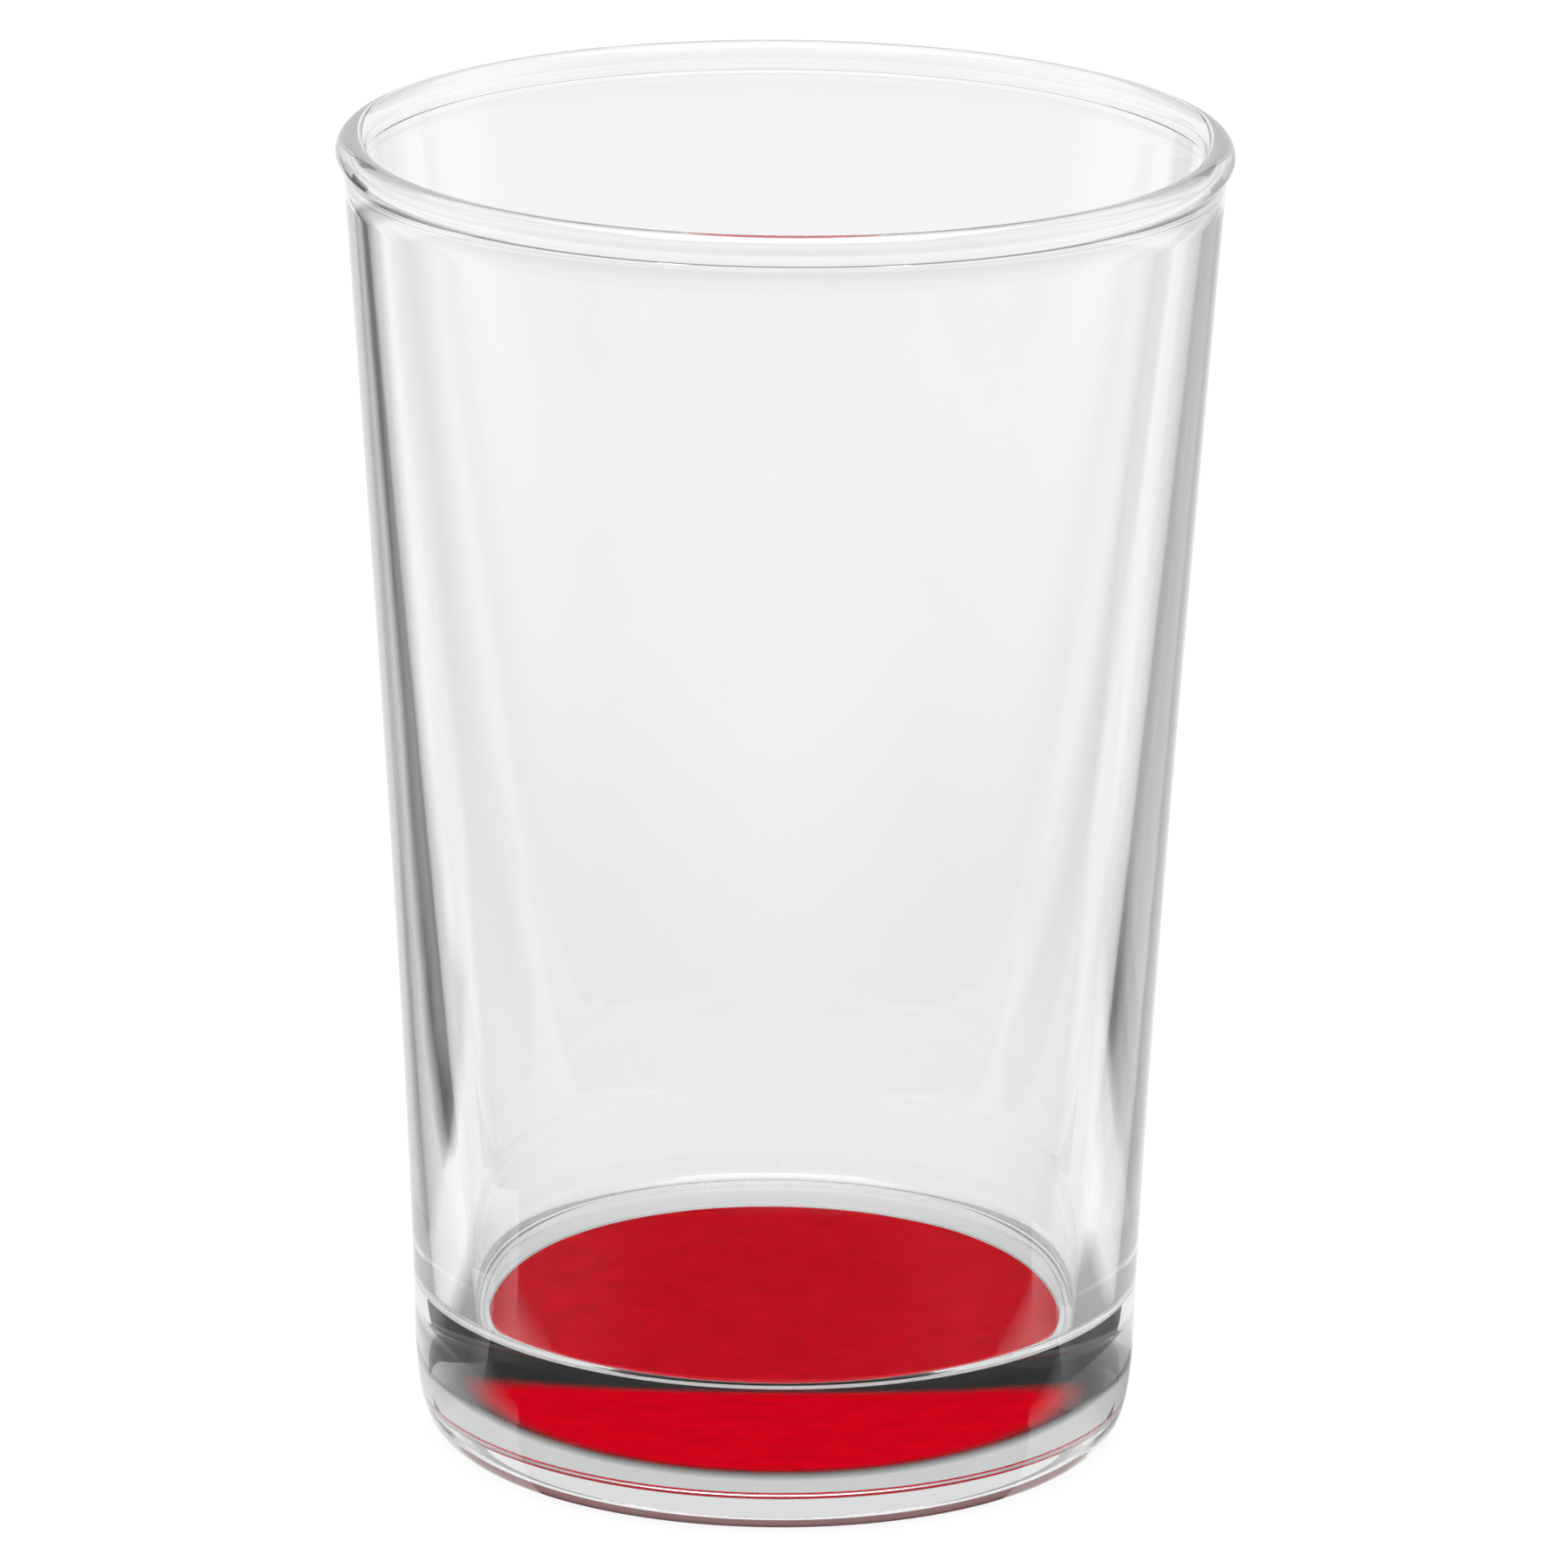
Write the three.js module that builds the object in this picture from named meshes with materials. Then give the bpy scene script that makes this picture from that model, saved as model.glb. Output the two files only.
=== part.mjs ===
// A tasting glass: a small tapered tumbler pressed from clear soda-lime glass, with a
// fire-polished bead round its rim, a heavy base, and a red colour coat on the underside
// of the base, inside the standing ring.
// Millimetres, +Z up. The origin is the middle of the standing ring, on the surface that
// the glass stands on.
import * as THREE from 'three';

// Overall
const glassHeight = 90.4;
const rimDiameter = 60;

// Rim bead, round in section, standing proud of the wall outside and inside
const beadDiameter = 2.1;
const beadProudOutside = 0.5;
const beadProudInside = 0.56;

// Outer wall: a slight curve whose draft eases towards the base
const bodyRadius = 24.67;
const bendRadius = 25.15;
const bendHeight = 27.5;

// Heel: its height, and its handles' shares of its run on the ring and of its height
const heelHeight = 7.1;
const heelRingShare = 0.615;
const heelWallShare = 0.784;

// Standing ring and the recess inside it
const ringOuterRadius = 22.15;
const ringInnerRadius = 21.1;
const recessRadius = 20.9;
const recessDepth = 2.4;
const recessCornerRadius = 0.3;

// Cavity: floor, the corner round it, and where the inner wall would meet the floor
const baseThickness = 9.6;
const innerFootRadius = 21.1;
const floorCornerRadius = 1.2;

// Colour coat under the base
const coatThickness = 0.3;
const coatRadius = 20.6;

// How finely the curves are divided
const roundSteps = 96;
const wallSteps = 9;
const heelSteps = 10;
const cornerSteps = 6;
const beadSteps = 5;

const rightAngle = Math.PI / 2;
const rimRadius = rimDiameter / 2;
const beadRadius = beadDiameter / 2;
const beadCentre = new THREE.Vector2(rimRadius - beadRadius, glassHeight - beadRadius);

// Angle below the horizontal at which the wall leaves the bead, when it stands so far
// within the bead's outline
function neckAngle(proud) {
  return Math.acos((beadRadius - proud) / beadRadius);
}

// Where the wall meets the bead, on the outside for side 1 and on the inside for side -1
function neck(proud, side) {
  const angle = neckAngle(proud);
  return new THREE.Vector2(
    beadCentre.x + side * beadRadius * Math.cos(angle),
    beadCentre.y - beadRadius * Math.sin(angle),
  );
}

// Outer wall, from the top of the heel to the bead
function outerWall() {
  const body = new THREE.Vector2(bodyRadius, heelHeight);
  const bend = new THREE.Vector2(bendRadius, bendHeight);
  return new THREE.QuadraticBezierCurve(body, bend, neck(beadProudOutside, 1));
}

// Heel, from the standing ring up to the wall, which it meets without an edge
function heel() {
  const run = bodyRadius - ringOuterRadius;
  const wallLean = (bendRadius - bodyRadius) / (bendHeight - heelHeight);
  const handleHeight = heelHeight * heelWallShare;
  return new THREE.CubicBezierCurve(
    new THREE.Vector2(ringOuterRadius, 0),
    new THREE.Vector2(ringOuterRadius + run * heelRingShare, 0),
    new THREE.Vector2(bodyRadius - wallLean * handleHeight, heelHeight - handleHeight),
    new THREE.Vector2(bodyRadius, heelHeight),
  );
}

// A stretch of a round section, between two angles from straight outwards
function roundArc(centre, radius, startAngle, endAngle) {
  const clockwise = endAngle < startAngle;
  return new THREE.EllipseCurve(
    centre.x, centre.y, radius, radius, startAngle, endAngle, clockwise,
  );
}

// Rim bead, over the top from the outer wall to the inner wall
function beadPoints() {
  const start = -neckAngle(beadProudOutside);
  const end = Math.PI + neckAngle(beadProudInside);
  return [
    ...roundArc(beadCentre, beadRadius, start, 0).getPoints(beadSteps),
    ...roundArc(beadCentre, beadRadius, 0, rightAngle).getPoints(beadSteps).slice(1),
    ...roundArc(beadCentre, beadRadius, rightAngle, Math.PI).getPoints(beadSteps).slice(1),
    ...roundArc(beadCentre, beadRadius, Math.PI, end).getPoints(beadSteps).slice(1),
  ];
}

// Rounded corner between the inner wall and the floor, from the wall down to the floor
function floorCorner() {
  const top = neck(beadProudInside, -1);
  const lean = Math.atan2(top.x - innerFootRadius, top.y - baseThickness);
  const reach = floorCornerRadius * Math.tan((rightAngle - lean) / 2);
  const centre = new THREE.Vector2(innerFootRadius - reach, baseThickness + floorCornerRadius);
  return roundArc(centre, floorCornerRadius, -lean, -rightAngle);
}

// Rounded corner between the recess's ceiling and its wall, from the ceiling
function recessCorner() {
  const lean = Math.atan2(ringInnerRadius - recessRadius, recessDepth);
  const reach = recessCornerRadius * Math.tan((rightAngle - lean) / 2);
  const centre = new THREE.Vector2(recessRadius - reach, recessDepth - recessCornerRadius);
  return roundArc(centre, recessCornerRadius, rightAngle, lean);
}

// Half-section of the tumbler, from the axis under the base, round the outside and the
// rim, and down the inside to the axis on the floor
function tumblerSection() {
  return [
    new THREE.Vector2(0, recessDepth),
    ...recessCorner().getPoints(cornerSteps),
    new THREE.Vector2(ringInnerRadius, 0),
    ...heel().getPoints(heelSteps),
    ...outerWall().getPoints(wallSteps).slice(1),
    ...beadPoints().slice(1),
    ...floorCorner().getPoints(cornerSteps),
    new THREE.Vector2(0, baseThickness),
  ];
}

// Half-section of the coat, a thin disc whose upper face lies on the recess's ceiling
function coatSection() {
  const underside = recessDepth - coatThickness;
  return [
    new THREE.Vector2(0, underside),
    new THREE.Vector2(coatRadius, underside),
    new THREE.Vector2(coatRadius, recessDepth),
    new THREE.Vector2(0, recessDepth),
  ];
}

// Turn a half-section round the vertical axis
function turned(name, section, material) {
  const geometry = new THREE.LatheGeometry(section, roundSteps);
  geometry.rotateX(rightAngle);
  const mesh = new THREE.Mesh(geometry, material);
  mesh.name = name;
  return mesh;
}

const clearGlass = new THREE.MeshStandardMaterial({
  color: 0xeef2f0, roughness: 0.02, metalness: 0, transparent: true, opacity: 0.35,
});
const redCoat = new THREE.MeshStandardMaterial({
  color: 0xc00a1c, roughness: 0.35, metalness: 0,
});

const tastingGlass = new THREE.Group();
tastingGlass.name = 'tasting_glass';
tastingGlass.add(turned('glass_tumbler', tumblerSection(), clearGlass));
tastingGlass.add(turned('base_colour_coat', coatSection(), redCoat));

export default tastingGlass;
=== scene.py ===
"""The looks of a small tasting glass: clear pressed glass with a red coat under its base.

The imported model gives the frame. The tumbler and the coat are drawn again here as fine
surfaces of revolution in the same places, with their finishes, on a plain pale floor.
Metres, +Z up, with the origin at the middle of the standing ring.
"""
import logging
import math
from dataclasses import dataclass
from enum import Enum

import bpy
import numpy as np
from mathutils import Matrix, Vector


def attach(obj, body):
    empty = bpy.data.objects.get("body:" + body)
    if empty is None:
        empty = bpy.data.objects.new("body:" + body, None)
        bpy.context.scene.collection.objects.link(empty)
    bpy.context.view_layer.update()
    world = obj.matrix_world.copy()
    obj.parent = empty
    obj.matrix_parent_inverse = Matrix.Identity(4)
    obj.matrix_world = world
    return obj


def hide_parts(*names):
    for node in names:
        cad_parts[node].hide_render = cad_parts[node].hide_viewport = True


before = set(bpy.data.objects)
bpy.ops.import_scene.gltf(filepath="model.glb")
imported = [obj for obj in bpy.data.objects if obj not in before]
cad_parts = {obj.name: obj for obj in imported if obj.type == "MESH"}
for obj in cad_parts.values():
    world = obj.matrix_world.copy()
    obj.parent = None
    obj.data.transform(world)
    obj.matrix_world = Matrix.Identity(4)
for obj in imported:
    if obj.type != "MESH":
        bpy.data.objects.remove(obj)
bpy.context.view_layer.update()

LOG = logging.getLogger("tasting_glass")
MM = 0.001
RIGHT_ANGLE = math.pi / 2

# How many turns a ray may take inside the glass, and how many clear sheets it may pass
LIGHT_TURNS = 400
CLEAR_PASSES = 16

# Between these, a count of turns is switched from none to one or more
NONE_TO_ONE = (0.4, 0.6)

# Half the width of a sharp edge in the surroundings, in degrees
EDGE = 0.5

PAIR = tuple[float, float]
TRIPLE = tuple[float, float, float]


class Node(Enum):
    """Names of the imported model's nodes that are drawn again here."""

    TUMBLER = "glass_tumbler"
    COAT = "base_colour_coat"


class Slot(Enum):
    """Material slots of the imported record."""

    GLASS = "clear_glass"
    COAT = "red_coat"


def straight(start: PAIR, end: PAIR, count: int) -> np.ndarray:
    """Points of a straight stretch, set closer together near both of its ends.

    Args:
        start: Radius and height where it starts.
        end: Radius and height where it ends.
        count: How many points, both ends included.

    Returns:
        Array (count, 2): start plus (end - start) times (1 - cos(pi t)) / 2.
    """
    share = (1 - np.cos(np.linspace(0, math.pi, count))) / 2
    return np.outer(1 - share, start) + np.outer(share, end)


def cubic(p0: PAIR, p1: PAIR, p2: PAIR, p3: PAIR, count: int) -> np.ndarray:
    """Points of a cubic curve from p0 to p3 with handles p1 and p2.

    Args:
        p0: Start.
        p1: Handle of the start.
        p2: Handle of the end.
        p3: End.
        count: How many points, both ends included.

    Returns:
        Array (count, 2): the Bernstein sum of the four points at even steps.
    """
    t = np.linspace(0, 1, count)
    terms = ((1 - t) ** 3, 3 * (1 - t) ** 2 * t, 3 * (1 - t) * t ** 2, t ** 3)
    return sum(np.outer(term, point) for term, point in zip(terms, (p0, p1, p2, p3)))


def arc(centre: PAIR, radius: float, start: float, end: float, count: int) -> np.ndarray:
    """Points of a circle's arc.

    Args:
        centre: Radius and height of the centre.
        radius: The arc's own radius.
        start: Angle of its start, in radians from straight outwards.
        end: Angle of its end.
        count: How many points, both ends included.

    Returns:
        Array (count, 2): centre plus radius times (cos, sin) of even angles.
    """
    angle = np.linspace(start, end, count)
    return np.array(centre) + radius * np.column_stack((np.cos(angle), np.sin(angle)))


def joined(*stretches: np.ndarray) -> np.ndarray:
    """Stretches laid end to end, each without its first point, which the last one has."""
    return np.vstack([stretches[0]] + [stretch[1:] for stretch in stretches[1:]])


def turned_mesh(name: str, section: np.ndarray, steps: int) -> bpy.types.Mesh:
    """Surface of revolution of a half-section that starts and ends on the axis.

    Each inner point of the section makes a ring: x = r cos a, y = r sin a, z as it is,
    for even angles a. The two points on the axis are single vertices that close it.

    Args:
        name: Name of the mesh.
        section: Array (n, 2) of radius and height, with the solid on its left.
        steps: How many vertices each ring has.

    Returns:
        The closed, smooth-shaded mesh with its faces pointing out.
    """
    angle = np.arange(steps) * (2 * math.pi / steps)
    rings = section[1:-1]
    grid = np.empty((len(rings), steps, 3))
    grid[..., 0] = rings[:, :1] * np.cos(angle)
    grid[..., 1] = rings[:, :1] * np.sin(angle)
    grid[..., 2] = rings[:, 1:]
    poles = np.array([[0, 0, section[0, 1]], [0, 0, section[-1, 1]]])
    points = np.vstack((grid.reshape(-1, 3), poles))

    index = np.arange(len(rings) * steps).reshape(len(rings), steps)
    nxt = np.roll(index, -1, axis=1)
    quads = np.stack((index[:-1], nxt[:-1], nxt[1:], index[1:]), axis=-1).reshape(-1, 4)
    first, last = len(rings) * steps, len(rings) * steps + 1
    low = np.column_stack((np.full(steps, first), nxt[0], index[0]))
    high = np.column_stack((np.full(steps, last), index[-1], nxt[-1]))

    mesh = bpy.data.meshes.new(name)
    mesh.from_pydata(points.tolist(), [], quads.tolist() + low.tolist() + high.tolist())
    mesh.polygons.foreach_set("use_smooth", [True] * len(mesh.polygons))
    mesh.update()
    return mesh


def flat_mesh(name: str, corners: list[TRIPLE]) -> bpy.types.Mesh:
    """A mesh of one flat face.

    Args:
        name: Name of the mesh.
        corners: The face's four corners in order.

    Returns:
        The mesh.
    """
    mesh = bpy.data.meshes.new(name)
    mesh.from_pydata(corners, [], [(0, 1, 2, 3)])
    return mesh


def placed(mesh: bpy.types.Mesh, material: bpy.types.Material) -> bpy.types.Object:
    """An object for a mesh, in the scene at the origin.

    Args:
        mesh: The mesh, whose name the object takes.
        material: What it is made of.

    Returns:
        The object.
    """
    piece = bpy.data.objects.new(mesh.name, mesh)
    bpy.context.scene.collection.objects.link(piece)
    mesh.materials.append(material)
    return piece


def grey(tone: float) -> tuple[float, ...]:
    """An opaque grey of a tone."""
    return (tone, tone, tone, 1)


@dataclass(frozen=True)
class Wiring:
    """Makes and joins the nodes of one node tree."""

    tree: bpy.types.NodeTree

    def feed(self, target: bpy.types.NodeSocket, source: object) -> None:
        """Link an input to a socket, or give it a plain value."""
        if isinstance(source, bpy.types.NodeSocket):
            self.tree.links.new(source, target)
        else:
            target.default_value = source

    def node(self, kind: str, inputs: dict[str | int, object] | None = None,
             **settings: object) -> bpy.types.Node:
        """A new node with its settings, and with its inputs linked or set.

        Args:
            kind: The node's type.
            inputs: By an input's name or number, the socket or the value that feeds it.
            **settings: The node's own properties, which are set first.

        Returns:
            The node.
        """
        node = self.tree.nodes.new(kind)
        for name, value in settings.items():
            setattr(node, name, value)
        for name, source in (inputs or {}).items():
            self.feed(node.inputs[name], source)
        return node

    def place(self) -> bpy.types.NodeSocket:
        """Object coordinates."""
        return self.node("ShaderNodeTexCoord").outputs["Object"]

    def split(self, vector: bpy.types.NodeSocket) -> bpy.types.Node:
        """The node that gives a vector's X, Y and Z."""
        return self.node("ShaderNodeSeparateXYZ", {0: vector})

    def length(self, vector: bpy.types.NodeSocket) -> bpy.types.NodeSocket:
        """A vector's length."""
        return self.node("ShaderNodeVectorMath", {0: vector},
                         operation="LENGTH").outputs["Value"]

    def combined(self, operation: str, *sources: object) -> bpy.types.NodeSocket:
        """Sources put together two by two.

        Args:
            operation: A Math node's operation.
            *sources: Sockets or values, in order.

        Returns:
            The result's socket.
        """
        result = sources[0]
        for source in sources[1:]:
            node = self.node("ShaderNodeMath", {0: result, 1: source}, operation=operation)
            result = node.outputs[0]
        return result

    def ramp(self, source: bpy.types.NodeSocket, ends: PAIR, values: PAIR,
             **settings: object) -> bpy.types.NodeSocket:
        """A value that runs evenly between two ends and keeps still outside them.

        Args:
            source: What the value follows.
            ends: Where it starts and stops changing.
            values: The values at the two ends.
            **settings: Properties of the Map Range node.

        Returns:
            The value's socket.
        """
        names = ("From Min", "From Max", "To Min", "To Max")
        inputs = {"Value": source} | dict(zip(names, ends + values))
        return self.node("ShaderNodeMapRange", inputs, **settings).outputs["Result"]

    def switch(self, count: bpy.types.NodeSocket, values: PAIR) -> bpy.types.NodeSocket:
        """The first value where a count is 0, and the second where it is 1 or more."""
        return self.ramp(count, NONE_TO_ONE, values)

    def group(self, effect: bpy.types.NodeTree) -> bpy.types.Node:
        """A node that holds a shader group."""
        return self.node("ShaderNodeGroup", node_tree=effect)

    def light_path(self) -> bpy.types.bpy_prop_collection:
        """The outputs of a Light Path node."""
        return self.node("ShaderNodeLightPath").outputs

    def glow(self, colour: object) -> bpy.types.NodeSocket:
        """A shader that gives out light of a colour."""
        return self.node("ShaderNodeEmission", {"Color": colour}).outputs[0]

    def mixed(self, share: bpy.types.NodeSocket, first: bpy.types.NodeSocket,
              second: bpy.types.NodeSocket) -> bpy.types.NodeSocket:
        """The first shader where the share is 0, and the second where it is 1."""
        return self.node("ShaderNodeMixShader", {0: share, 1: first, 2: second}).outputs[0]

    def finish(self, output: str, shader: bpy.types.NodeSocket) -> None:
        """Use a shader as the material's Surface or Volume."""
        self.feed(self.tree.nodes["Material Output"].inputs[output], shader)


def new_effect(name: str, kind: str, *outputs: str) -> tuple[bpy.types.NodeTree, Wiring]:
    """An empty shader group with its outputs.

    Args:
        name: Name of the group.
        kind: The outputs' type of socket.
        *outputs: Their names.

    Returns:
        The group and its wiring.
    """
    effect = bpy.data.node_groups.new(name, "ShaderNodeTree")
    for output in outputs:
        effect.interface.new_socket(output, in_out="OUTPUT", socket_type=kind)
    return effect, Wiring(effect)


def new_material(name: str) -> tuple[bpy.types.Material, bpy.types.Node, Wiring]:
    """A node material.

    Args:
        name: Name of the material.

    Returns:
        The material, its Principled shader and its wiring.
    """
    material = bpy.data.materials.new(name)
    material.use_nodes = True
    tree = material.node_tree
    return material, tree.nodes["Principled BSDF"], Wiring(tree)


@dataclass(frozen=True)
class ClearGlass:
    """Clear soda-lime glass.

    The body absorbs (1 - body_tint) times body_density of each colour's light per metre.
    Light that is turned back more often than piped_after ends at the piped tone, a painted
    glow.
    """

    ior: float = 1.52
    tint: TRIPLE = (0.985, 0.99, 0.987)
    roughness: float = 0.0
    body_tint: TRIPLE = (0.90, 0.96, 0.92)
    body_density: float = 2.0
    ripple_scale: float = 170.0
    ripple_detail: float = 1.0
    ripple_height: float = 0.004 * MM
    piped_after: int = 3
    piped_tone: float = 0.40

    def ripple(self) -> bpy.types.NodeTree:
        """Shader group whose Normal follows the faint ripple that pressing leaves.

        Returns:
            The group, with the output Normal.
        """
        effect, wiring = new_effect("pressed_ripple", "NodeSocketVector", "Normal")
        waves = wiring.node("ShaderNodeTexNoise", {
            "Scale": self.ripple_scale, "Detail": self.ripple_detail,
            "Vector": wiring.place()})
        bump = wiring.node("ShaderNodeBump", {
            "Strength": 1, "Distance": self.ripple_height, "Height": waves.outputs[0]})
        wiring.node("NodeGroupOutput", {"Normal": bump.outputs["Normal"]})
        return effect

    def material(self) -> bpy.types.Material:
        """The glass as a refracting surface round a slightly green, absorbing body.

        Light that has been turned back inside the wall many times ends at an even pale tone, a
        painted glow in place of the hundreds of turns that it would still take.

        Returns:
            The glass's material.
        """
        material, shader, wiring = new_material("clear_pressed_glass")
        shader.inputs["Base Color"].default_value = (*self.tint, 1)
        shader.inputs["Roughness"].default_value = self.roughness
        shader.inputs["IOR"].default_value = self.ior
        shader.inputs["Transmission Weight"].default_value = 1
        ripple = wiring.group(self.ripple())
        wiring.feed(shader.inputs["Normal"], ripple.outputs["Normal"])
        body = wiring.node("ShaderNodeVolumeAbsorption", {
            "Color": (*self.body_tint, 1), "Density": self.body_density})
        wiring.finish("Volume", body.outputs["Volume"])
        # Painted light: rays turned back more than piped_after times end on a grey glow
        piped = wiring.combined("GREATER_THAN", wiring.light_path()["Glossy Depth"],
                                self.piped_after)
        glow = wiring.glow(grey(self.piped_tone))
        wiring.finish("Surface", wiring.mixed(piped, shader.outputs[0], glow))
        return material


@dataclass(frozen=True)
class RedLacquer:
    """Red lacquer film, seen through the glass and from underneath.

    Outside that a clear primer of a lower index lies between them, which shows the red from
    above and mirrors at a glancing angle. Rays mirrored before they reach the film see a pale
    grey in place of the red: painted light, so that it looks well lit in reflections.
    """

    colour: TRIPLE = (0.97, 0.0015, 0.015)
    # Painted light: the pale grey that mirrored rays see in place of the red
    mirrored_painted_light: TRIPLE = (0.80, 0.75, 0.76)
    thin_colour: TRIPLE = (0.84, 0.001, 0.013)
    mottle_scale: float = 420.0
    mottle_detail: float = 4.0
    mottle_range: PAIR = (0.35, 0.65)
    roughness: float = 0.4
    underside_gloss: float = 0.5
    wetted_radius: float = 11.5 * MM
    wetted_blend: float = 2.5 * MM
    primer_index: float = 0.93

    def mottle(self) -> bpy.types.NodeTree:
        """Shader group with the film's colour, a little deeper in fine soft patches.

        Returns:
            The group, with the output Color.
        """
        effect, wiring = new_effect("film_mottle", "NodeSocketColor", "Color")
        patches = wiring.node("ShaderNodeTexNoise", {
            "Scale": self.mottle_scale, "Detail": self.mottle_detail,
            "Vector": wiring.place()})
        blend = wiring.node("ShaderNodeMix", {
            "A": (*self.colour, 1), "B": (*self.thin_colour, 1),
            "Factor": wiring.ramp(patches.outputs[0], self.mottle_range, (0, 1)),
        }, data_type="RGBA")
        wiring.node("NodeGroupOutput", {"Color": blend.outputs["Result"]})
        return effect

    def film_zones(self, middle: float) -> bpy.types.NodeTree:
        """Shader group with masks of the upper face and of the primed zone round it.

        Args:
            middle: Height half-way through the film.

        Returns:
            The group, with the outputs Upper and Primed, each 0 or 1 with a soft edge.
        """
        effect, wiring = new_effect("film_zones", "NodeSocketFloat", "Upper", "Primed")
        split = wiring.split(wiring.place()).outputs
        upper = wiring.combined("GREATER_THAN", split["Z"], middle)
        flat = wiring.node("ShaderNodeCombineXYZ", {"X": split["X"], "Y": split["Y"]})
        ends = (self.wetted_radius, self.wetted_radius + self.wetted_blend)
        zone = wiring.ramp(wiring.length(flat.outputs[0]), ends, (0, 1),
                           interpolation_type="SMOOTHSTEP")
        primed = wiring.combined("MULTIPLY", zone, upper)
        wiring.node("NodeGroupOutput", {"Upper": upper, "Primed": primed})
        return effect

    def material(self, middle: float) -> bpy.types.Material:
        """The lacquer as an opaque coat, with a clear primer between it and the glass.

        Args:
            middle: Height half-way through the film.

        Returns:
            The film's material.
        """
        material, shader, wiring = new_material("red_base_lacquer")
        zones = wiring.group(self.film_zones(middle)).outputs
        mottle = wiring.group(self.mottle())
        # Painted light: mirrored rays see the pale grey, all other rays the red
        colour = wiring.node("ShaderNodeMix", {
            "A": mottle.outputs["Color"], "B": (*self.mirrored_painted_light, 1),
            "Factor": wiring.light_path()["Glossy Depth"]}, data_type="RGBA")
        wiring.feed(shader.inputs["Base Color"], colour.outputs["Result"])
        shader.inputs["Roughness"].default_value = self.roughness
        gloss = wiring.ramp(zones["Upper"], (0, 1), (self.underside_gloss, 0))
        wiring.feed(shader.inputs["Specular IOR Level"], gloss)
        mirror = wiring.node("ShaderNodeBsdfGlossy", {"Roughness": 0})
        fresnel = wiring.node("ShaderNodeFresnel", {"IOR": self.primer_index})
        share = wiring.combined("MULTIPLY", fresnel.outputs[0], zones["Primed"])
        wiring.finish("Surface", wiring.mixed(share, shader.outputs[0], mirror.outputs[0]))
        return material


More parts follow.
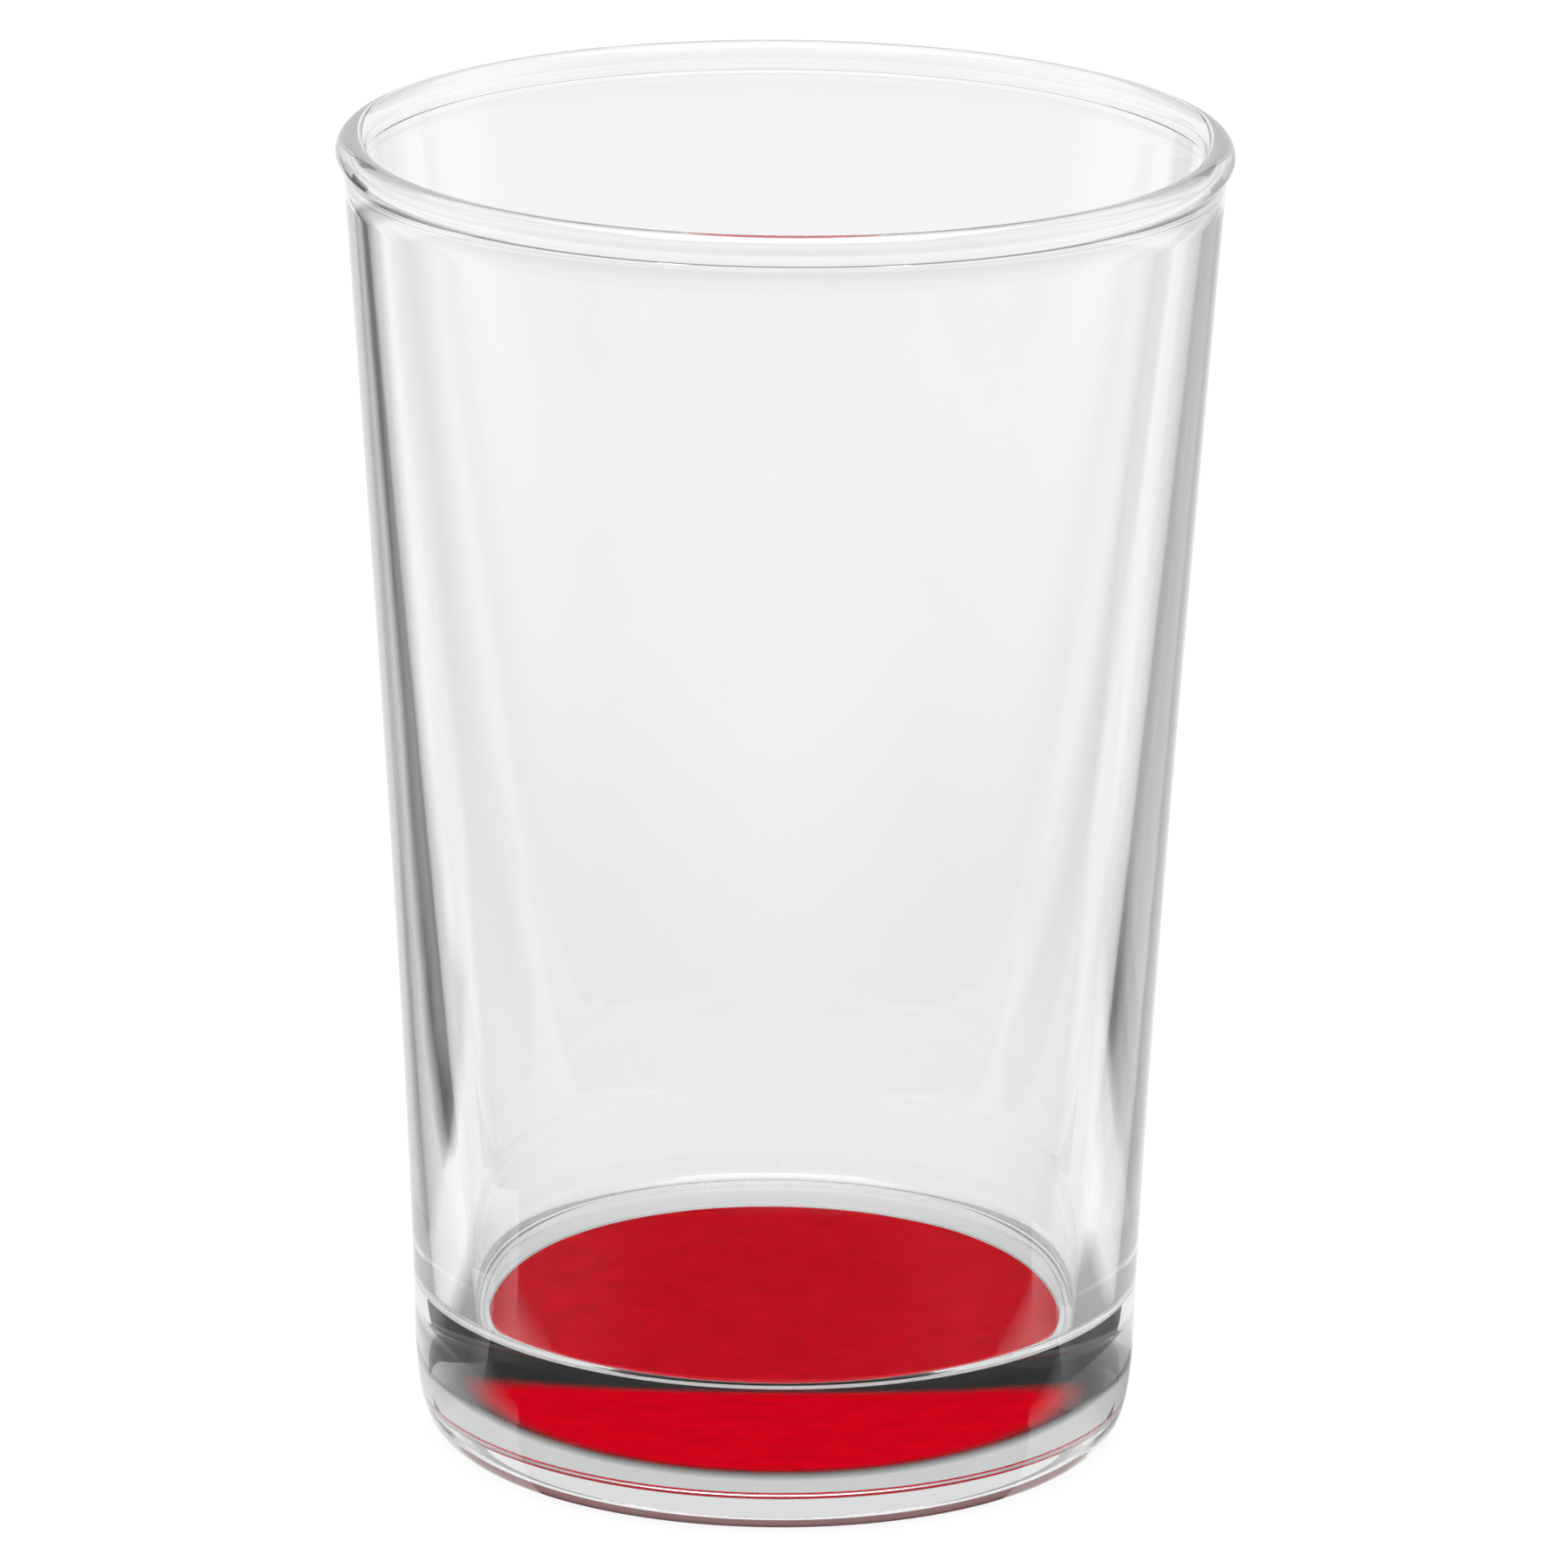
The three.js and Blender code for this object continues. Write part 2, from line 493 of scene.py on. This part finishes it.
@dataclass(frozen=True)
class Tumbler:
    """The pressed glass itself: bead, wall, heel, ring, recess, floor and fillet.

    Each count of points is for one stretch of the half-section, both ends included.
    """

    height: float = 90.4 * MM
    rim_radius: float = 30.0 * MM
    bead_radius: float = 1.05 * MM
    bead_proud_outside: float = 0.5 * MM
    bead_proud_inside: float = 0.56 * MM
    body_radius: float = 24.67 * MM
    bend_radius: float = 25.15 * MM
    bend_height: float = 27.5 * MM
    heel_height: float = 7.1 * MM
    heel_ring_share: float = 0.615
    heel_wall_share: float = 0.784
    ring_outer_radius: float = 22.15 * MM
    ring_inner_radius: float = 21.1 * MM
    recess_depth: float = 2.4 * MM
    recess_radius: float = 20.9 * MM
    recess_corner: float = 0.3 * MM
    base_thickness: float = 9.6 * MM
    inner_foot_radius: float = 21.1 * MM
    fillet_radius: float = 1.2 * MM
    ceiling_points: int = 12
    corner_points: int = 24
    recess_wall_points: int = 10
    ring_points: int = 5
    heel_points: int = 70
    outer_wall_points: int = 60
    bead_points: int = 60
    inner_wall_points: int = 40
    fillet_points: int = 50
    floor_points: int = 10
    steps: int = 288

    def bead_centre(self) -> PAIR:
        """Radius and height of the middle of the bead's round section."""
        return self.rim_radius - self.bead_radius, self.height - self.bead_radius

    def neck_angle(self, proud: float) -> float:
        """Angle below the horizontal where the wall leaves the bead, that far within it."""
        return math.acos((self.bead_radius - proud) / self.bead_radius)

    def neck(self, proud: float, side: int) -> PAIR:
        """Where the wall meets the bead.

        Args:
            proud: How far the bead stands out of the wall there.
            side: 1 for the outside and -1 for the inside.

        Returns:
            Its radius and height.
        """
        radius, height = self.bead_centre()
        angle = self.neck_angle(proud)
        return (radius + side * self.bead_radius * math.cos(angle),
                height - self.bead_radius * math.sin(angle))

    def heel(self) -> np.ndarray:
        """Heel from the standing ring up to the wall.

        Returns:
            Points of one cubic curve, level on the ring and along the wall at its top.
        """
        run = self.body_radius - self.ring_outer_radius
        lean = (self.bend_radius - self.body_radius) / (self.bend_height - self.heel_height)
        handle = self.heel_height * self.heel_wall_share
        return cubic(
            (self.ring_outer_radius, 0),
            (self.ring_outer_radius + run * self.heel_ring_share, 0),
            (self.body_radius - lean * handle, self.heel_height - handle),
            (self.body_radius, self.heel_height), self.heel_points)

    def outer_wall(self) -> np.ndarray:
        """Outer wall from the heel to the neck.

        Returns:
            Points of the cubic curve that equals a quadratic one with its handle at the
            bend: each of its handles lies two thirds of the way from an end to the bend.
        """
        low = np.array((self.body_radius, self.heel_height))
        bend = np.array((self.bend_radius, self.bend_height))
        high = np.array(self.neck(self.bead_proud_outside, 1))
        return cubic(low, (low + 2 * bend) / 3, (high + 2 * bend) / 3, high,
                     self.outer_wall_points)

    def bead(self) -> np.ndarray:
        """Rim bead, a round arc.

        Returns:
            Its points, from the outer neck over the top to the inner neck.
        """
        start = -self.neck_angle(self.bead_proud_outside)
        end = math.pi + self.neck_angle(self.bead_proud_inside)
        return arc(self.bead_centre(), self.bead_radius, start, end, self.bead_points)

    def fillet(self) -> np.ndarray:
        """Fillet of constant radius between the inner wall and the floor.

        Returns:
            Its points, from the wall down to the floor.
        """
        neck = self.neck(self.bead_proud_inside, -1)
        lean = math.atan2(neck[0] - self.inner_foot_radius, neck[1] - self.base_thickness)
        reach = self.fillet_radius * math.tan((RIGHT_ANGLE - lean) / 2)
        centre = (self.inner_foot_radius - reach, self.base_thickness + self.fillet_radius)
        return arc(centre, self.fillet_radius, -lean, -RIGHT_ANGLE, self.fillet_points)

    def recess(self) -> np.ndarray:
        """Recess under the base.

        Returns:
            Points from the axis along its ceiling, round its corner and down to the ring.
        """
        run = self.ring_inner_radius - self.recess_radius
        lean = math.atan2(run, self.recess_depth)
        reach = self.recess_corner * math.tan((RIGHT_ANGLE - lean) / 2)
        centre = (self.recess_radius - reach, self.recess_depth - self.recess_corner)
        corner = arc(centre, self.recess_corner, RIGHT_ANGLE, lean, self.corner_points)
        return joined(
            straight((0, self.recess_depth), tuple(corner[0]), self.ceiling_points),
            corner,
            straight(tuple(corner[-1]), (self.ring_inner_radius, 0),
                     self.recess_wall_points),
        )

    def section(self) -> np.ndarray:
        """Half-section of the glass.

        Returns:
            Points from the axis under the base, round the outside, to the floor's middle.
        """
        fillet = self.fillet()
        return joined(
            self.recess(),
            straight((self.ring_inner_radius, 0), (self.ring_outer_radius, 0),
                     self.ring_points),
            self.heel(),
            self.outer_wall(),
            self.bead(),
            straight(self.neck(self.bead_proud_inside, -1), tuple(fillet[0]),
                     self.inner_wall_points),
            fillet,
            straight(tuple(fillet[-1]), (0, self.base_thickness), self.floor_points),
        )

    def build(self, finish: ClearGlass) -> bpy.types.Object:
        """Make the tumbler in place of its node.

        Args:
            finish: The glass that it is made of.

        Returns:
            The tumbler's object.
        """
        mesh = turned_mesh("tumbler_glass", self.section(), self.steps)
        piece = placed(mesh, finish.material())
        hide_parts(Node.TUMBLER.value)
        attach(piece, "root")
        return piece


@dataclass(frozen=True)
class ColourCoat:
    """The red film on the ceiling of the recess under the base."""

    tumbler: Tumbler
    thickness: float = 0.3 * MM
    radius: float = 20.6 * MM
    bite: float = 0.02 * MM
    face_points: int = 10
    edge_points: int = 4
    steps: int = 288

    def section(self) -> np.ndarray:
        """Half-section of the disc, whose upper face bites into the glass a little.

        Returns:
            Points from the axis along the underside, up the edge and back along the top.
        """
        top = self.tumbler.recess_depth + self.bite
        underside = self.tumbler.recess_depth - self.thickness
        return joined(
            straight((0, underside), (self.radius, underside), self.face_points),
            straight((self.radius, underside), (self.radius, top), self.edge_points),
            straight((self.radius, top), (0, top), self.face_points),
        )

    def build(self, finish: RedLacquer) -> bpy.types.Object:
        """Make the coat in place of its node.

        Args:
            finish: The lacquer that it is made of.

        Returns:
            The coat's object.
        """
        mesh = turned_mesh("base_red_coat", self.section(), self.steps)
        middle = self.tumbler.recess_depth - self.thickness / 2
        piece = placed(mesh, finish.material(middle))
        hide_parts(Node.COAT.value)
        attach(piece, "root")
        return piece


@dataclass(frozen=True)
class Viewpoint:
    """The photograph's camera, with its angles in degrees and its lens in millimetres."""

    place: TRIPLE = (0.0003, -0.7325, 0.25922)
    pitch_down: float = 16.28
    roll: float = 0.55
    lens: float = 258.6
    sensor: float = 36.0
    sees_to: float = 100.0

    def build(self) -> None:
        """Make the camera and put it in use."""
        data = bpy.data.cameras.new("camera")
        data.lens = self.lens
        data.sensor_width = self.sensor
        data.clip_end = self.sees_to
        pitch, roll = math.radians(self.pitch_down), math.radians(self.roll)
        ahead = Vector((0, math.cos(pitch), -math.sin(pitch)))
        level = Vector((1, 0, 0))
        upright = level.cross(ahead)
        right = math.cos(roll) * level + math.sin(roll) * upright
        up = math.cos(roll) * upright - math.sin(roll) * level
        turn = Matrix((right, up, -ahead)).transposed()
        camera = bpy.data.objects.new("camera", data)
        camera.matrix_world = Matrix.Translation(self.place) @ turn.to_4x4()
        bpy.context.scene.collection.objects.link(camera)
        bpy.context.scene.camera = camera


@dataclass(frozen=True)
class Strip:
    """A strip of painted shade on the table round the glass, as a mirrored ray sees it.

    Each station is a row across the strip, in millimetres: how far behind the glass's axis
    it lies, and the four places from left to right where the tone is 1, then its own, then
    its own, and 1 again. The tone of the station follows them.
    """

    name: str
    stations: tuple[tuple[float, ...], ...]

    def mesh(self, lift: float) -> bpy.types.Mesh:
        """The strip as a grid with a tone at each vertex.

        Args:
            lift: How high over the table it lies.

        Returns:
            The mesh, whose point attribute "tone" runs evenly between the stations.
        """
        table = np.array(self.stations)
        rows, columns = len(table), 4
        grid = np.empty((rows, columns, 3))
        grid[..., 0] = table[:, 1:5] * MM
        grid[..., 1] = table[:, :1] * MM
        grid[..., 2] = lift
        index = np.arange(rows * columns).reshape(rows, columns)
        quads = np.stack((index[:-1, :-1], index[:-1, 1:], index[1:, 1:], index[1:, :-1]),
                         axis=-1).reshape(-1, 4)
        tones = np.ones((rows, columns))
        tones[:, 1:3] = table[:, 5:]
        mesh = bpy.data.meshes.new(self.name)
        mesh.from_pydata(grid.reshape(-1, 3).tolist(), [], quads.tolist())
        layer = mesh.attributes.new("tone", "FLOAT", "POINT")
        layer.data.foreach_set("value", tones.ravel())
        return mesh


# The strips of painted shade, from the lowest to the highest: dark round the front of the
# glass and paler farther out, then what lies to its left and right, then small painted
# shadows beside its foot
STRIPS = (
    Strip("front_painted_shade", (
        (-300, -282, -281, 281, 282, 1),
        (-210, -280, -90, 90, 280, 0.65),
        (-90, -280, -90, 90, 280, 0.02),
        (-17, -280, -90, 90, 280, 0.02),
    )),
    Strip("left_side_painted_shade", (
        (-17.5, -280, -90, -34, -28, 0.02),
        (-5, -280, -90, -48, -40, 0.03),
        (3, -282, -95, -66, -56, 0.04),
        (12, -285, -104, -84, -72, 0.06),
        (30, -300, -135, -125, -108, 0.10),
        (80, -350, -225, -200, -165, 0.25),
        (200, -480, -365, -330, -270, 0.50),
        (450, -860, -760, -700, -600, 0.95),
    )),
    Strip("right_side_painted_shade", (
        (-17.5, 28, 34, 90, 280, 0.02),
        (-5, 42, 50, 90, 280, 0.03),
        (3, 58, 68, 95, 282, 0.04),
        (12, 74, 86, 104, 285, 0.06),
        (30, 110, 128, 138, 300, 0.10),
        (80, 180, 215, 240, 360, 0.25),
        (200, 310, 360, 395, 500, 0.50),
        (450, 600, 700, 760, 860, 0.95),
    )),
    Strip("left_painted_shade", (
        (20, -84, -76, -52, -44, 0.90),
        (26, -88, -80, -52, -44, 0.03),
        (40, -92, -82, -58, -46, 0.03),
        (50, -104, -90, -61, -48, 0.03),
        (60, -112, -94, -67, -52, 0.03),
        (73, -120, -98, -73, -56, 0.03),
        (90, -135, -108, -81, -64, 0.03),
        (112, -155, -124, -95, -76, 0.03),
        (142, -175, -145, -108, -88, 0.03),
        (180, -205, -175, -124, -102, 0.03),
        (230, -250, -210, -145, -122, 0.03),
        (420, -420, -360, -225, -200, 0.03),
        (1990, -1900, -1700, -880, -820, 0.03),
    )),
    Strip("right_painted_shade", (
        (20, 38, 70, 80, 92, 0.85),
        (32, 38, 66, 88, 98, 0.60),
        (38, 38, 66, 90, 102, 0.05),
        (49, 38, 72, 94, 112, 0.08),
        (60, 38, 80, 98, 122, 0.18),
        (70, 40, 86, 106, 140, 0.32),
        (90, 42, 94, 118, 165, 0.36),
        (112, 42, 106, 136, 200, 0.38),
        (142, 50, 116, 150, 230, 0.40),
        (180, 58, 132, 175, 270, 0.44),
        (230, 68, 146, 200, 310, 0.46),
        (300, 80, 168, 240, 370, 0.46),
        (420, 100, 205, 300, 470, 0.44),
        (1990, 380, 850, 1300, 1900, 0.44),
    )),
    Strip("left_foot_painted_shadow", (
        (-10, -54, -46, -30, -25, 0.95),
        (-5, -54, -46, -30, -25, 0.32),
        (4, -54, -46, -32, -28, 0.36),
        (9, -54, -46, -34, -30, 0.95),
    )),
    Strip("right_foot_painted_shadow", (
        (-10, 20, 24, 40, 50, 0.95),
        (-5, 20, 24, 38, 48, 0.38),
        (9, 24, 28, 39, 46, 0.38),
        (15, 25, 29, 36, 42, 0.95),
    )),
)


@dataclass(frozen=True)
class Table:
    """Pale floor, with painted shade that only reflections and rays inside the glass show on
    it.

    Mirrored rays find it dark beyond table_end from the glass, unless they land farther
    back than table_back: painted shade that the camera doesn't see. Rays at less than the
    shallow angle, in degrees, show the strips even where no mirror turned them.
    """

    size: float = 4.0
    colour: float = 0.095
    glow: float = 0.79
    camera_lift: float = 0.10
    table_end: PAIR = (300 * MM, 600 * MM)
    table_back: PAIR = (-50 * MM, 150 * MM)
    strip_lift: float = 0.2 * MM
    shallow: float = 10.0
    card_start: float = 25 * MM
    card_end: float = 48 * MM
    card_height: float = 7 * MM
    card_tone: float = 0.03

    def table_glow(self, wiring: Wiring) -> bpy.types.NodeSocket:
        """The floor's glow, lost as painted shade for mirrored rays far before the glass and
        beside it.

        Args:
            wiring: The floor material's wiring.

        Returns:
            The glow's socket.
        """
        place = wiring.place()
        # Painted shade: mirrored rays lose the glow far from the glass, unless they land far
        # behind it
        loss = wiring.combined(
            "MULTIPLY",
            wiring.switch(wiring.light_path()["Glossy Depth"], (0, 1)),
            wiring.ramp(wiring.length(place), self.table_end, (0, 1)),
            wiring.ramp(wiring.split(place).outputs["Y"], self.table_back, (1, 0)))
        return wiring.ramp(loss, (0, 1), (self.glow, 0))

    def floor(self) -> None:
        """The floor: a plain pale sheet that also glows a little where it is looked at."""
        half = self.size / 2
        mesh = flat_mesh("floor", [(-half, -half, 0), (half, -half, 0), (half, half, 0),
                                   (-half, half, 0)])
        material, shader, wiring = new_material("pale_floor")
        shader.inputs["Base Color"].default_value = grey(self.colour)
        shader.inputs["Roughness"].default_value = 1
        shader.inputs["Specular IOR Level"].default_value = 0
        shader.inputs["Emission Color"].default_value = grey(1)
        path = wiring.light_path()
        strength = wiring.combined("MULTIPLY", self.table_glow(wiring),
                                   wiring.switch(path["Diffuse Depth"], (1, 0)))
        lift = wiring.combined("MULTIPLY", path["Is Camera Ray"], self.camera_lift)
        wiring.feed(shader.inputs["Emission Strength"],
                    wiring.combined("ADD", strength, lift))
        placed(mesh, material)

    def strip_material(self) -> bpy.types.Material:
        """The painted shade of the mesh's points, for mirrored rays and for those at a shallow
        angle.

        Returns:
            The material, which other rays pass through.
        """
        material, _, wiring = new_material("painted_reflected_shade")
        path = wiring.light_path()
        unmirrored = wiring.combined(
            "MAXIMUM", wiring.switch(path["Glossy Depth"], (1, 0)),
            wiring.switch(path["Diffuse Depth"], (0, 1)))
        incoming = wiring.node("ShaderNodeNewGeometry").outputs["Incoming"]
        steep = wiring.combined("GREATER_THAN", wiring.split(incoming).outputs["Z"],
                                math.sin(math.radians(self.shallow)))
        passing = wiring.combined("MULTIPLY", unmirrored, steep)
        tone = wiring.node("ShaderNodeAttribute", attribute_name="tone")
        clear = wiring.node("ShaderNodeBsdfTransparent")
        # Painted shade: the strip's tone glows for mirrored and shallow rays, others pass
        # through
        wiring.finish("Surface", wiring.mixed(passing, wiring.glow(tone.outputs["Fac"]),
                                              clear.outputs[0]))
        return material

    def strips(self) -> None:
        """Lay the strips of painted shade on the table, each a little over the one before."""
        material = self.strip_material()
        for level, strip in enumerate(STRIPS, start=1):
            self.unseen(placed(strip.mesh(self.strip_lift * level), material))

    def card(self) -> None:
        """A low dark card that stands edge-on behind the glass, for slanting rays alone."""
        start, end, top = self.card_start, self.card_end, self.card_height
        mesh = flat_mesh("edge_on_card", [(0, start, 0), (0, end, 0), (0, end, top),
                                          (0, start, top)])
        material, _, wiring = new_material("dark_card")
        wiring.finish("Surface", wiring.glow(grey(self.card_tone)))
        self.unseen(placed(mesh, material))

    @staticmethod
    def unseen(piece: bpy.types.Object) -> None:
        """Keep a piece of the stage out of the camera's view, of matt light and of shadows."""
        piece.visible_camera = False
        piece.visible_diffuse = False
        piece.visible_shadow = False

    def build(self) -> None:
        """Make the floor and what lies and stands on it."""
        self.floor()
        self.strips()
        self.card()


@dataclass(frozen=True)
class Sky:
    """A ray's direction in the world's node tree, with ramps over its two angles.

    Azimuths run from straight behind the glass, positive to the right.
    """

    wiring: Wiring
    height: bpy.types.NodeSocket
    azimuth: bpy.types.NodeSocket

    def rise(self, angle: float, values: PAIR) -> bpy.types.NodeSocket:
        """From the first value to the second one at an elevation in degrees."""
        ends = (math.sin(math.radians(angle - EDGE)), math.sin(math.radians(angle + EDGE)))
        return self.wiring.ramp(self.height, ends, values)

    def turned(self, sides: PAIR, values: PAIR) -> bpy.types.NodeSocket:
        """From the first value to the second one between two azimuths in degrees."""
        ends = (math.radians(sides[0]), math.radians(sides[1]))
        return self.wiring.ramp(self.azimuth, ends, values)

    def at(self, side: float, values: PAIR) -> bpy.types.NodeSocket:
        """From the first value to the second one at an azimuth in degrees."""
        return self.turned((side - EDGE, side + EDGE), values)


@dataclass(frozen=True)
class Surroundings:
    """White backdrop with two flags, and the dark room with its windows and pale ceiling.

    The camera itself sees white all round, and so does a ray that a matt surface sent out.
    Angles are in degrees, and azimuths run from straight behind the glass, positive to the
    right. A side that is a pair of azimuths is a soft one.
    """

    backdrop_tone: float = 0.82
    backdrop_top: float = 17.6
    backdrop_start: PAIR = (-120.0, -85.0)
    backdrop_end: PAIR = (85.0, 120.0)
    room_tone: float = 0.02
    left_window: tuple[PAIR, PAIR] = ((-140.0, -110.0), (-92.0, -58.0))
    left_window_tone: float = 0.4
    right_window: tuple[PAIR, PAIR] = ((44.0, 66.0), (100.0, 130.0))
    right_window_tone: float = 0.5
    ceiling_from: float = 36.0
    ceiling_tone: float = 0.8
    flag_top: float = 6.0
    left_flag: PAIR = (-42.0, -30.0)
    left_flag_tone: float = 0.2
    right_flag: PAIR = (25.0, 36.0)
    right_flag_tone: float = 0.6
    matt_light: float = 1.35
    lamp_place: TRIPLE = (0, 0.1, 1.2)
    lamp_size: float = 1.0
    lamp_power: float = 12.0

    def window(self, sky: Sky, sides: tuple[PAIR, PAIR], tone: float) -> bpy.types.NodeSocket:
        """A window's tone between its two soft sides, and the room's elsewhere.

        Args:
            sky: The ray's direction.
            sides: The azimuths over which it comes in and goes out.
            tone: Its tone.

        Returns:
            The tone's socket.
        """
        left = sky.turned(sides[0], (self.room_tone, tone))
        right = sky.turned(sides[1], (tone, self.room_tone))
        return sky.wiring.combined("MINIMUM", left, right)

    def flag(self, sky: Sky, sides: PAIR, tone: float) -> bpy.types.NodeSocket:
        """A flag's tone between two azimuths under the flags' top, and 1 elsewhere.

        Args:
            sky: The ray's direction.
            sides: The azimuths of its sides.
            tone: Its tone.

        Returns:
            The tone's socket.
        """
        return sky.wiring.combined(
            "MAXIMUM", sky.at(sides[0], (1, tone)), sky.at(sides[1], (tone, 1)),
            sky.rise(self.flag_top, (tone, 1)))

    def world(self) -> None:
        """Make the backdrop and the room, and put them in use."""
        world = bpy.data.worlds.new("studio")
        world.use_nodes = True
        wiring = Wiring(world.node_tree)
        ray = wiring.split(wiring.node("ShaderNodeTexCoord").outputs["Generated"]).outputs
        sky = Sky(wiring, ray["Z"], wiring.combined("ARCTAN2", ray["X"], ray["Y"]))
        path = wiring.light_path()

        behind = wiring.combined(
            "MINIMUM", sky.rise(self.backdrop_top, (self.backdrop_tone, 0)),
            sky.turned(self.backdrop_start, (0, 1)), sky.turned(self.backdrop_end, (1, 0)))
        seen = wiring.combined(
            "MAXIMUM",
            self.window(sky, self.left_window, self.left_window_tone),
            self.window(sky, self.right_window, self.right_window_tone),
            behind,
            sky.rise(self.ceiling_from, (0, self.ceiling_tone)),
            wiring.switch(path["Glossy Depth"], (1, 0)))
        shaded = wiring.combined(
            "MULTIPLY", seen, self.flag(sky, self.left_flag, self.left_flag_tone),
            self.flag(sky, self.right_flag, self.right_flag_tone))
        matt = wiring.switch(path["Diffuse Depth"], (0, 1))

        background = world.node_tree.nodes["Background"].inputs
        wiring.feed(background["Color"],
                    wiring.combined("MAXIMUM", shaded, path["Is Camera Ray"], matt))
        wiring.feed(background["Strength"],
                    wiring.ramp(matt, (0, 1), (1, self.matt_light)))
        bpy.context.scene.world = world

    def lamp(self) -> None:
        """A square soft lamp overhead that looks at the glass."""
        data = bpy.data.lights.new("overhead_softbox", "AREA")
        data.size = self.lamp_size
        data.energy = self.lamp_power
        lamp = bpy.data.objects.new(data.name, data)
        lamp.location = self.lamp_place
        lamp.rotation_euler = Vector(self.lamp_place).to_track_quat("Z", "Y").to_euler()
        bpy.context.scene.collection.objects.link(lamp)

    def build(self) -> None:
        """Set the surroundings and the lamp."""
        self.world()
        self.lamp()


def set_light_paths() -> None:
    """Let light turn often enough inside the glass, and keep its tones as they are."""
    scene = bpy.context.scene
    scene.view_settings.view_transform = "Standard"
    scene.cycles.max_bounces = LIGHT_TURNS
    scene.cycles.transmission_bounces = LIGHT_TURNS
    scene.cycles.glossy_bounces = LIGHT_TURNS
    scene.cycles.transparent_max_bounces = CLEAR_PASSES


def main() -> None:
    """Build the camera, the glass, its coat and the studio."""
    logging.basicConfig(level=logging.INFO, format="%(name)s: %(message)s")
    Viewpoint().build()
    tumbler = Tumbler()
    for piece in (tumbler.build(ClearGlass()), ColourCoat(tumbler).build(RedLacquer())):
        LOG.info("%s: %d faces", piece.name, len(piece.data.polygons))
    Table().build()
    Surroundings().build()
    set_light_paths()


if __name__ == "__main__":
    main()
